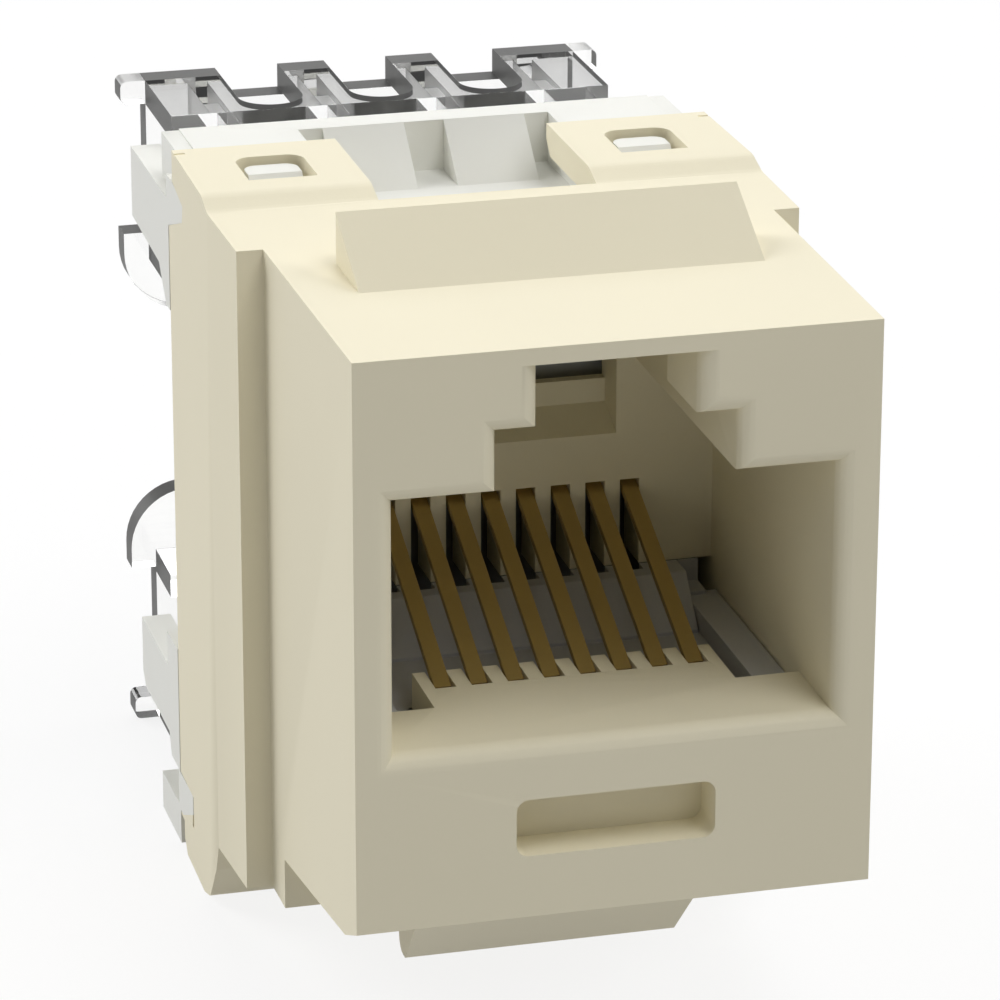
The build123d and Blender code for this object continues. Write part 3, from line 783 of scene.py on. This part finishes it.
@dataclass
class WireCap:
    """The clear cap that presses the wires home."""

    half_width: float = 6.75
    top: float = 15.45
    base: float = -5.5
    front: float = 24.82
    back: float = 29.72
    plate: float = 0.9
    slab: float = 0.75
    ear_reach: float = 0.77
    ear_top: float = 10.63
    ear_base: float = 8.08
    ear_round: float = 1.9
    ear_facets: int = 12
    ear_lift: float = 0.3
    tab: float = 0.73
    tab_round: float = 0.2
    tab_facets: int = 6
    waist: float = 4.9
    hole: float = 7.2
    hole_sides: int = 96
    notch_pitch: float = 3.42
    notch_width: float = 1.95
    notch_front: float = 0.48
    notch_sides: int = 48
    rib_width: float = 0.6
    rib_inner: float = 1.71
    rib_outer: float = 5.13
    kerf_half: float = 1.1
    kerf_low: float = 13.13
    kerf_high: float = 13.83
    kerf_back: float = 27.15
    shelf_top: float = 10.5
    shelf: float = 0.75
    shelf_half: float = 6.75
    shelf_front: float = 26.5
    edge: float = 0.06
    rule: FaceRule = FaceRule()

    @property
    def middle(self) -> float:
        """Height of the cap's middle."""
        return (self.top + self.base) / 2

    @property
    def face(self) -> float:
        """Y of the plate's front face."""
        return self.back - self.plate

    @property
    def ear(self) -> float:
        """Distance of the ears' outer sides from the centre plane."""
        return self.half_width + self.ear_reach

    @property
    def waist_low(self) -> float:
        """Height of the lower ears' upper sides."""
        return 2 * self.middle - self.ear_base + self.ear_lift

    @property
    def notch_places(self) -> tuple[float, float, float]:
        """X of the notches' middles."""
        return -self.notch_pitch, 0.0, self.notch_pitch

    def slab_piece(self) -> Solid:
        """Slab with round-ended notches between the wire places.

        Returns:
            The slab.
        """
        under = self.top - self.slab
        low = (-self.half_width, self.front, under)
        slab = Bench.block("slab", low, (self.half_width, self.face + LAP, self.top))
        radius = self.notch_width / 2
        end = self.front + self.notch_front + radius
        for place in self.notch_places:
            tool = Bench.rod((place, end, self.top), radius, Axis.Z, self.notch_sides)
            Bench.combine(slab, tool, Join.CUT)
            low = (place - radius, end, under - PAST)
            Bench.box(slab, Join.CUT, low, (place + radius, self.face + PAST, self.top + PAST))
        return slab

    def rib_piece(self, place: float) -> Solid:
        """Rib with the kerf that passes a terminal.

        Args:
            place: X of the rib's middle.

        Returns:
            The rib.
        """
        half = self.rib_width / 2
        low = (place - half, self.front, self.shelf_top - LAP)
        high = (place + half, self.face + LAP, self.top - self.slab + LAP)
        rib = Bench.block("rib", low, high)
        low = (place - self.kerf_half, self.front - PAST, self.kerf_low)
        Bench.box(rib, Join.CUT, low, (place + self.kerf_half, self.kerf_back, self.kerf_high))
        return rib

    def upper_piece(self) -> Solid:
        """Slab, ribs and shelf above the cap's middle.

        Returns:
            The upper half, less the plate.
        """
        upper = self.slab_piece()
        for place in (self.rib_inner, self.rib_outer, -self.rib_inner, -self.rib_outer):
            Bench.combine(upper, self.rib_piece(place), Join.ADD)
        low = (-self.shelf_half, self.shelf_front, self.shelf_top - self.shelf)
        Bench.box(upper, Join.ADD, low, (self.shelf_half, self.face + LAP, self.shelf_top))
        return upper

    def add_ears(self, plate: Solid) -> None:
        """Narrow the plate's waist and add its ears and tabs.

        Args:
            plate: The plate.
        """
        for side in SIDES:
            near, far = beside(side, self.waist, self.ear + PAST)
            low = (near, self.face - PAST, self.waist_low)
            Bench.box(plate, Join.CUT, low, (far, self.back + PAST, self.ear_base))
        lower_ear = self.waist_low - (self.ear_top - self.ear_base)
        ears = [
            (self.waist, self.ear_base, self.ear_top),
            (self.waist, lower_ear, self.waist_low),
            (self.half_width - LAP, self.top - self.tab, self.top),
            (self.half_width - LAP, self.base, self.base + self.tab),
        ]
        for inside, base, top in ears:
            for side in SIDES:
                near, far = beside(side, inside, self.ear)
                Bench.box(plate, Join.ADD, (near, self.face, base), (far, self.back, top))
        Bench.flatten(plate)

    def round_ears(self, plate: Solid) -> None:
        """Round the ears' inner corners and the tabs' corners.

        Args:
            plate: The plate with its ears and tabs.
        """
        ear_levels = (self.ear_base, self.waist_low)
        tab_levels = (self.top, self.top - self.tab, self.base, self.base + self.tab)
        for levels, radius, facets in (
            (ear_levels, self.ear_round, self.ear_facets),
            (tab_levels, self.tab_round, self.tab_facets),
        ):
            spots = [(side * self.ear, level) for side in SIDES for level in levels]
            Bench.round_edges(plate, Axis.Y, spots, radius, facets)

    def plate_piece(self) -> Solid:
        """Rear plate with its ears, tabs, notches and cable hole.

        Returns:
            The plate.
        """
        low = (-self.half_width, self.face, self.base)
        plate = Bench.block("cap_plate", low, (self.half_width, self.back, self.top))
        self.add_ears(plate)
        self.round_ears(plate)
        centre = (0.0, self.back, self.middle)
        hole = Bench.rod(centre, self.hole / 2, Axis.Y, self.hole_sides)
        Bench.combine(plate, hole, Join.CUT)
        radius = self.notch_width / 2
        upper = (self.top - self.tab, self.top + PAST)
        lower = (self.base - PAST, self.base + self.tab)
        for place in self.notch_places:
            for base, top in (upper, lower):
                low = (place - radius, self.face - PAST, base)
                Bench.box(plate, Join.CUT, low, (place + radius, self.back + PAST, top))
        return plate

    def finish_of(self, face: bpy.types.MeshPolygon) -> CapFinish:
        """Choose a face's material.

        Args:
            face: A face of the finished cap, in metres.

        Returns:
            Clear, a dark painted shade where thick plastic is seen edge on, or a frosted grey
            with a lighter painted shade on the ribs and upper tabs.
        """
        rule = self.rule
        along, up = face.normal.y, face.normal.z
        side = abs(face.center.x) / MM
        level = face.center.z / MM + SEAT_Z - self.middle
        height = abs(level)
        reach = self.top - self.middle
        if face.center.y / MM + SEAT_Y > self.face - rule.skin:
            on_tab = side > self.half_width + rule.root and height > reach - self.tab
            # Upper tab faces take the frosted grey painted shade; the lower tab's downward faces
            # take the dark painted shade, its upward faces stay clear.
            if on_tab and abs(along) < rule.looks and abs(up) > rule.leans:
                if level > 0.0:
                    return CapFinish.RIB
                return CapFinish.EDGE if up < 0.0 else CapFinish.CLEAR
            clear = abs(along) > rule.looks or up < -rule.droops
            return CapFinish.CLEAR if clear else CapFinish.EDGE
        if height > reach - self.slab - rule.skin:
            clear = abs(up) > rule.looks or along < -rule.looks
            return CapFinish.CLEAR if clear else CapFinish.EDGE
        under_kerf = height < self.kerf_low - self.middle - rule.root
        if abs(along) > rule.looks or (abs(up) > rule.looks and under_kerf):
            return CapFinish.CLEAR
        return CapFinish.EDGE if side > self.shelf_half - rule.rim else CapFinish.RIB

    def paint_edge_shade(self, shell: Solid) -> None:
        """Paint dark shade, and a lighter frosted grey shade, on the faces where thick clear
        plastic is seen edge on.

        Args:
            shell: The finished cap, in metres.
        """
        shell.data.materials.append(CLEAR_PAINTED_SHADE.material())
        shell.data.materials.append(CLEAR_FROSTED_SHADE.material())
        for face in shell.data.polygons:
            face.material_index = self.finish_of(face).value

    def build(self, nodes: dict[str, Solid]) -> None:
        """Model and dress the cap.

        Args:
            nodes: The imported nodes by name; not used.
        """
        shell = self.plate_piece()
        upper = self.upper_piece()
        lower = Bench.twin(upper, "lower")
        Bench.flip(lower, Axis.Z, self.middle)
        Bench.combine(shell, upper, Join.ADD)
        Bench.combine(shell, lower, Join.ADD)
        Bench.flatten(shell)
        Bench.bisect(shell, (0.0, self.face, 0.0), (0.0, 1.0, 0.0))
        for side in SIDES:
            Bench.bisect(shell, (side * self.half_width, 0.0, 0.0), (1.0, 0.0, 0.0))
        Bench.soften(shell, self.edge)
        shell.name = "wire_cap_shell"
        finish_piece(shell, CLEAR, CAP, "wire_cap")
        # Painted shade on the cap's edge-on faces.
        self.paint_edge_shade(shell)


@dataclass
class Carrier:
    """The grey carrier under the contacts."""

    half: float = 5.94
    front: float = 3.11
    back: float = 12.94
    low: float = 2.88
    top: float = 3.93
    sink: float = 0.3
    comb_half: float = 4.26
    comb_back: float = 5.61
    rail_width: float = 0.96
    rail_top: float = 4.55
    rail_back: float = 10.5
    tail_half: float = 5.57
    tail_top: float = 4.66
    wall_front: float = 11.04
    wall_sink: float = 0.2
    block_half: float = 4.95
    block_front: float = 8.9
    block_back: float = 11.14
    block_step: float = 4.03
    block_top: float = 5.31
    slot_width: float = 0.57
    slot_front: float = 10.69
    slot_reach: float = 9.0
    groove_width: float = 0.56
    groove_top: float = 3.5
    pitch: float = 1.016
    contacts: int = 8
    edge: float = 0.035

    def ramp(self) -> Solid:
        """Raised rear block with its slope.

        Returns:
            The block.
        """
        low = (-self.block_half, self.block_front, self.top - self.sink)
        block = Bench.block("ramp", low, (self.block_half, self.block_back, self.block_top))
        rise = self.block_top - self.block_step
        run = self.block_back - self.block_front
        foot = (0.0, self.block_front, self.block_step)
        Bench.bisect(block, foot, (0.0, -rise, run), trim=True)
        return block

    def add_side(self, shell: Solid, side: int) -> None:
        """Add the rail, its narrower tail and its end wall on one side.

        Args:
            shell: The carrier.
            side: -1 for the left and 1 for the right.
        """
        sunk = self.top - self.sink
        near, far = beside(side, self.half - self.rail_width, self.half)
        high = (far, self.rail_back, self.rail_top)
        Bench.box(shell, Join.ADD, (near, self.front, sunk), high)
        near, far = beside(side, self.half - self.rail_width, self.tail_half)
        high = (far, self.block_back, self.tail_top)
        Bench.box(shell, Join.ADD, (near, self.rail_back - self.sink, sunk), high)
        low = (near, self.wall_front, self.top - self.wall_sink)
        Bench.box(shell, Join.ADD, low, (far, self.block_back, self.block_top))

    def cut_slots(self, shell: Solid) -> None:
        """Cut the slot and the groove of every contact.

        Args:
            shell: The carrier.
        """
        first = -self.pitch * (self.contacts - 1) / 2
        for number in range(self.contacts):
            place = first + number * self.pitch
            half = self.slot_width / 2
            high = (place + half, self.block_back + PAST, self.slot_reach)
            Bench.box(shell, Join.CUT, (place - half, self.slot_front, self.top), high)
            half = self.groove_width / 2
            low = (place - half, self.front - PAST, self.low - PAST)
            Bench.box(shell, Join.CUT, low, (place + half, self.back + PAST, self.groove_top))

    def build(self, nodes: dict[str, Solid]) -> None:
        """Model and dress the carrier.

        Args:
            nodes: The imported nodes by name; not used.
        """
        low = (-self.half, self.front, self.low)
        shell = Bench.block("carrier_shell", low, (self.half, self.back, self.top))
        low = (-self.comb_half, self.front - PAST, self.low - PAST)
        Bench.box(shell, Join.CUT, low, (self.comb_half, self.comb_back, self.top + PAST))
        for side in SIDES:
            self.add_side(shell, side)
        Bench.combine(shell, self.ramp(), Join.ADD)
        self.cut_slots(shell)
        Bench.flatten(shell)
        Bench.soften(shell, self.edge)
        finish_piece(shell, GREY, JACK, "contact_carrier")


@dataclass
class SpringContacts:
    """Eight bent ribbons that touch the plug."""

    count: int = 8
    pitch: float = 1.016
    width: float = 0.46
    thickness: float = 0.3
    tail_back: float = 14.1
    tail_height: float = 3.04
    front: float = 4.36
    knee_height: float = 4.68
    bend: float = 0.18
    tip_back: float = 11.3
    tip_height: float = 7.668
    edge: float = 0.035
    sharp: float = 50.0

    def ribbon(self) -> Solid:
        """Bend one contact from its tail to its free end.

        Returns:
            The contact, on the centre plane.
        """
        half, skin = self.width / 2, self.thickness / 2
        turn_y = self.front + self.bend
        low = (-half, turn_y, self.tail_height - skin)
        strip = Bench.block("contact", low, (half, self.tail_back, self.tail_height + skin))
        run = self.tip_back - self.front
        climb = self.tip_height - self.knee_height
        rise = math.atan2(climb, run)
        sweep = math.pi / 2 - rise
        cut = self.bend * math.tan(sweep / 2)
        upright = self.knee_height - cut - (self.tail_height + self.bend)
        slope = math.hypot(run, climb) - cut
        route = [
            Turn((0.0, turn_y, self.tail_height + self.bend), -90.0),
            Run((0.0, 0.0, upright)),
            Turn((0.0, turn_y, self.knee_height - cut), -math.degrees(sweep)),
            Run((0.0, slope * math.cos(rise), slope * math.sin(rise))),
        ]
        Bench.follow(strip, (0.0, turn_y, self.tail_height), (0.0, -1.0, 0.0), route)
        Bench.soften(strip, self.edge, angle=self.sharp)
        return strip

    def build(self, nodes: dict[str, Solid]) -> None:
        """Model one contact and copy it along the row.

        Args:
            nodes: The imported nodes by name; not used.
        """
        pattern = self.ribbon()
        for number in range(self.count):
            contact = Bench.twin(pattern, f"contact_ribbon_{number + 1}")
            Bench.shift(contact, (self.pitch * (number - (self.count - 1) / 2), 0.0, 0.0))
            finish_piece(contact, GOLD, JACK, f"contact_{number + 1}")
        bpy.data.objects.remove(pattern, do_unlink=True)


@dataclass
class PlainNodes:
    """Nodes whose own shape is right and that only take a finish."""

    terminals: int = 8

    def build(self, nodes: dict[str, Solid]) -> None:
        """Dress the nodes.

        Args:
            nodes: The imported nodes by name.
        """
        Bench.dress(nodes["circuit_board"], BOARD.material())
        for number in range(1, self.terminals + 1):
            Bench.dress(nodes[f"idc_terminal_{number}"], TIN.material())


# ---------------------------------------------------------------- the studio


@dataclass(frozen=True)
class Lamp:
    """A distant soft lamp."""

    name: str
    azimuth: float
    height: float
    level: float
    spread: float = 32.0

    def build(self) -> None:
        """Add the lamp, which gives a surface that faces it the written level."""
        data = bpy.data.lights.new(self.name, "SUN")
        data.energy = self.level * math.pi
        data.angle = math.radians(self.spread)
        obj = bpy.data.objects.new(self.name, data)
        bpy.context.scene.collection.objects.link(obj)
        turn, rise = math.radians(self.azimuth), math.radians(self.height)
        flat = math.cos(rise)
        towards = Vector((math.cos(turn) * flat, math.sin(turn) * flat, math.sin(rise)))
        obj.rotation_euler = (-towards).to_track_quat("-Z", "Y").to_euler()


LAMPS = (
    Lamp("right_rear_low", 30.0, 10.0, 0.25),
    Lamp("rear_low", 120.0, 10.0, 0.23),
    Lamp("right_middle", 0.0, 35.0, 0.25),
    Lamp("rear_middle", 72.0, 35.0, 0.25),
    Lamp("left_rear_middle", 144.0, 35.0, 0.46),
    Lamp("left_front_middle", 216.0, 35.0, 0.06),
    Lamp("front_middle", 288.0, 35.0, 0.08),
    Lamp("front_high", 300.0, 62.0, 0.32),
    Lamp("overhead", 0.0, 90.0, 0.02),
)

# Sockets of the node that mixes colours.
MIX_FACTOR = 0
MIX_FIRST = 6
MIX_SECOND = 7
MIX_RESULT = 2


def grey(level: float) -> tuple[float, float, float, float]:
    """Opaque grey of a level."""
    return level, level, level, 1.0


def mix_greys(tree: Tree, mask: Socket, first: float, second: float) -> Socket:
    """Choose between two greys.

    Args:
        tree: The material's nodes.
        mask: 0 where the first is wanted and 1 for the second.
        first: The first grey's level.
        second: The second grey's level.

    Returns:
        The chosen grey.
    """
    mix = tree.nodes.new("ShaderNodeMix")
    mix.data_type = "RGBA"
    mix.inputs[MIX_FIRST].default_value = grey(first)
    mix.inputs[MIX_SECOND].default_value = grey(second)
    link_value(tree, mask, mix.inputs[MIX_FACTOR])
    return mix.outputs[MIX_RESULT]


def dark_ceiling(tree: Tree, low: float, high: float, level: float) -> Socket:
    """Brightness of the studio round the object: white walls under a dark ceiling.

    Args:
        tree: The world's nodes.
        low: Sine of the elevation at which the walls start to darken.
        high: Sine of the elevation at which the ceiling is reached.
        level: The ceiling's brightness.

    Returns:
        A socket with the brightness in the ray's direction.
    """
    place = tree.nodes.new("ShaderNodeTexCoord")
    split = tree.nodes.new("ShaderNodeSeparateXYZ")
    link_value(tree, place.outputs["Generated"], split.inputs[0])
    fall = tree.nodes.new("ShaderNodeMapRange")
    fall.interpolation_type = "SMOOTHSTEP"
    fall.inputs["From Min"].default_value = low
    fall.inputs["From Max"].default_value = high
    fall.inputs["To Min"].default_value = 1.0
    fall.inputs["To Max"].default_value = level
    link_value(tree, split.outputs["Z"], fall.inputs["Value"])
    return fall.outputs["Result"]


def seen_directly(tree: Tree) -> Socket:
    """Mask of rays from the camera, mirrors and clear pieces.

    Args:
        tree: The material's or world's nodes.

    Returns:
        A socket that is 1 for those rays and 0 for the rest.
    """
    rays = tree.nodes.new("ShaderNodeLightPath").outputs
    mirrored = add_math(tree, "MAXIMUM", rays["Is Camera Ray"], rays["Is Glossy Ray"])
    return add_math(tree, "MAXIMUM", mirrored, rays["Is Transmission Ray"])


@dataclass
class Studio:
    """Pale floor, soft lamps and the camera at the photo's viewpoint."""

    lens: float = 185.386
    sensor: float = 36.0
    nearest: float = 0.01
    farthest: float = 10.0
    position: Point = (-35.07, -120.04, 58.08)
    right: Point = (0.96668472, -0.25596529, 0.00155385)
    down: Point = (-0.08781582, -0.33733717, -0.93727905)
    ahead: Point = (0.24043508, 0.90591688, -0.34857649)
    sky: float = 0.02
    floor_size: float = 4.0
    floor_rough: float = 0.9
    floor_white: float = 0.98
    floor_level: float = 0.25
    floor_bounce: float = 0.3
    floor_glow: float = 0.84
    wall_end: float = 0.03
    ceiling_start: float = 0.3
    ceiling: float = 0.16

    def camera(self) -> None:
        """Add the camera."""
        data = bpy.data.cameras.new("camera")
        data.lens = self.lens
        data.sensor_width = self.sensor
        data.clip_start = self.nearest
        data.clip_end = self.farthest
        obj = bpy.data.objects.new("camera", data)
        bpy.context.scene.collection.objects.link(obj)
        rows = (Vector(self.right), -Vector(self.down), -Vector(self.ahead))
        turn = Matrix(rows).transposed().to_4x4()
        x, y, z = self.position
        place = (x * MM, (y - SEAT_Y) * MM, (z - SEAT_Z) * MM)
        obj.matrix_world = Matrix.Translation(place) @ turn
        bpy.context.scene.camera = obj

    def paper(self) -> bpy.types.Material:
        """Floor that shows nearly white with a faint shadow and throws less light back.

        Returns:
            The material.
        """
        made = bpy.data.materials.new("floor_paper")
        made.use_nodes = True
        tree = made.node_tree
        shader = tree.nodes["Principled BSDF"]
        shader.inputs["Roughness"].default_value = self.floor_rough
        shader.inputs["Specular IOR Level"].default_value = 0.0
        shader.inputs["Emission Strength"].default_value = 1.0
        seen = seen_directly(tree)
        shown = self.floor_white * (1.0 - self.floor_glow)
        colour = mix_greys(tree, seen, self.floor_level, shown)
        link_value(tree, colour, shader.inputs["Base Color"])
        glow = mix_greys(tree, seen, self.floor_bounce, self.floor_glow)
        link_value(tree, glow, shader.inputs["Emission Color"])
        return made

    def floor(self, height: float) -> None:
        """Add the floor.

        Args:
            height: Its height in the row frame, in metres.
        """
        Bench.clear()
        bpy.ops.mesh.primitive_plane_add(size=self.floor_size, location=(0.0, 0.0, height))
        obj = bpy.context.active_object
        obj.name = "floor"
        Bench.dress(obj, self.paper())
        obj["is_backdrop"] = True

    def world(self) -> None:
        """White background for what is seen directly and a faint sky for the rest."""
        world = bpy.data.worlds.new("studio")
        bpy.context.scene.world = world
        world.use_nodes = True
        tree = world.node_tree
        tree.nodes.clear()
        out = tree.nodes.new("ShaderNodeOutputWorld")
        light = tree.nodes.new("ShaderNodeBackground")
        white = tree.nodes.new("ShaderNodeBackground")
        for backdrop in (light, white):
            backdrop.inputs["Color"].default_value = grey(1.0)
        light.inputs["Strength"].default_value = self.sky
        room = dark_ceiling(tree, self.wall_end, self.ceiling_start, self.ceiling)
        rays = tree.nodes.new("ShaderNodeLightPath").outputs
        shown = add_math(tree, "MAXIMUM", rays["Is Camera Ray"], room)
        link_value(tree, shown, white.inputs["Strength"])
        mix = tree.nodes.new("ShaderNodeMixShader")
        parts = (seen_directly(tree), light.outputs[0], white.outputs[0])
        for target, source in zip(mix.inputs, parts):
            link_value(tree, source, target)
        link_value(tree, mix.outputs[0], out.inputs[0])

    def build(self, low: float) -> None:
        """Set the stage.

        Args:
            low: The lowest height of the jack, in metres.
        """
        self.camera()
        self.floor(low)
        self.world()
        for lamp in LAMPS:
            lamp.build()
        bpy.context.scene.view_settings.view_transform = "Standard"


def main(frame: dict) -> None:
    """Build the jack and its stage.
    """
    logging.basicConfig(level=logging.INFO, format="%(name)s: %(message)s")
    before = [list(corner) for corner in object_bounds()]
    nodes = frame["nodes"]
    for part in (Housing(), WireBlock(), WireCap(), Carrier(), SpringContacts(), PlainNodes()):
        part.build(nodes)
    Studio().build(before[0][2])


if __name__ == "__main__":
    main(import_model())
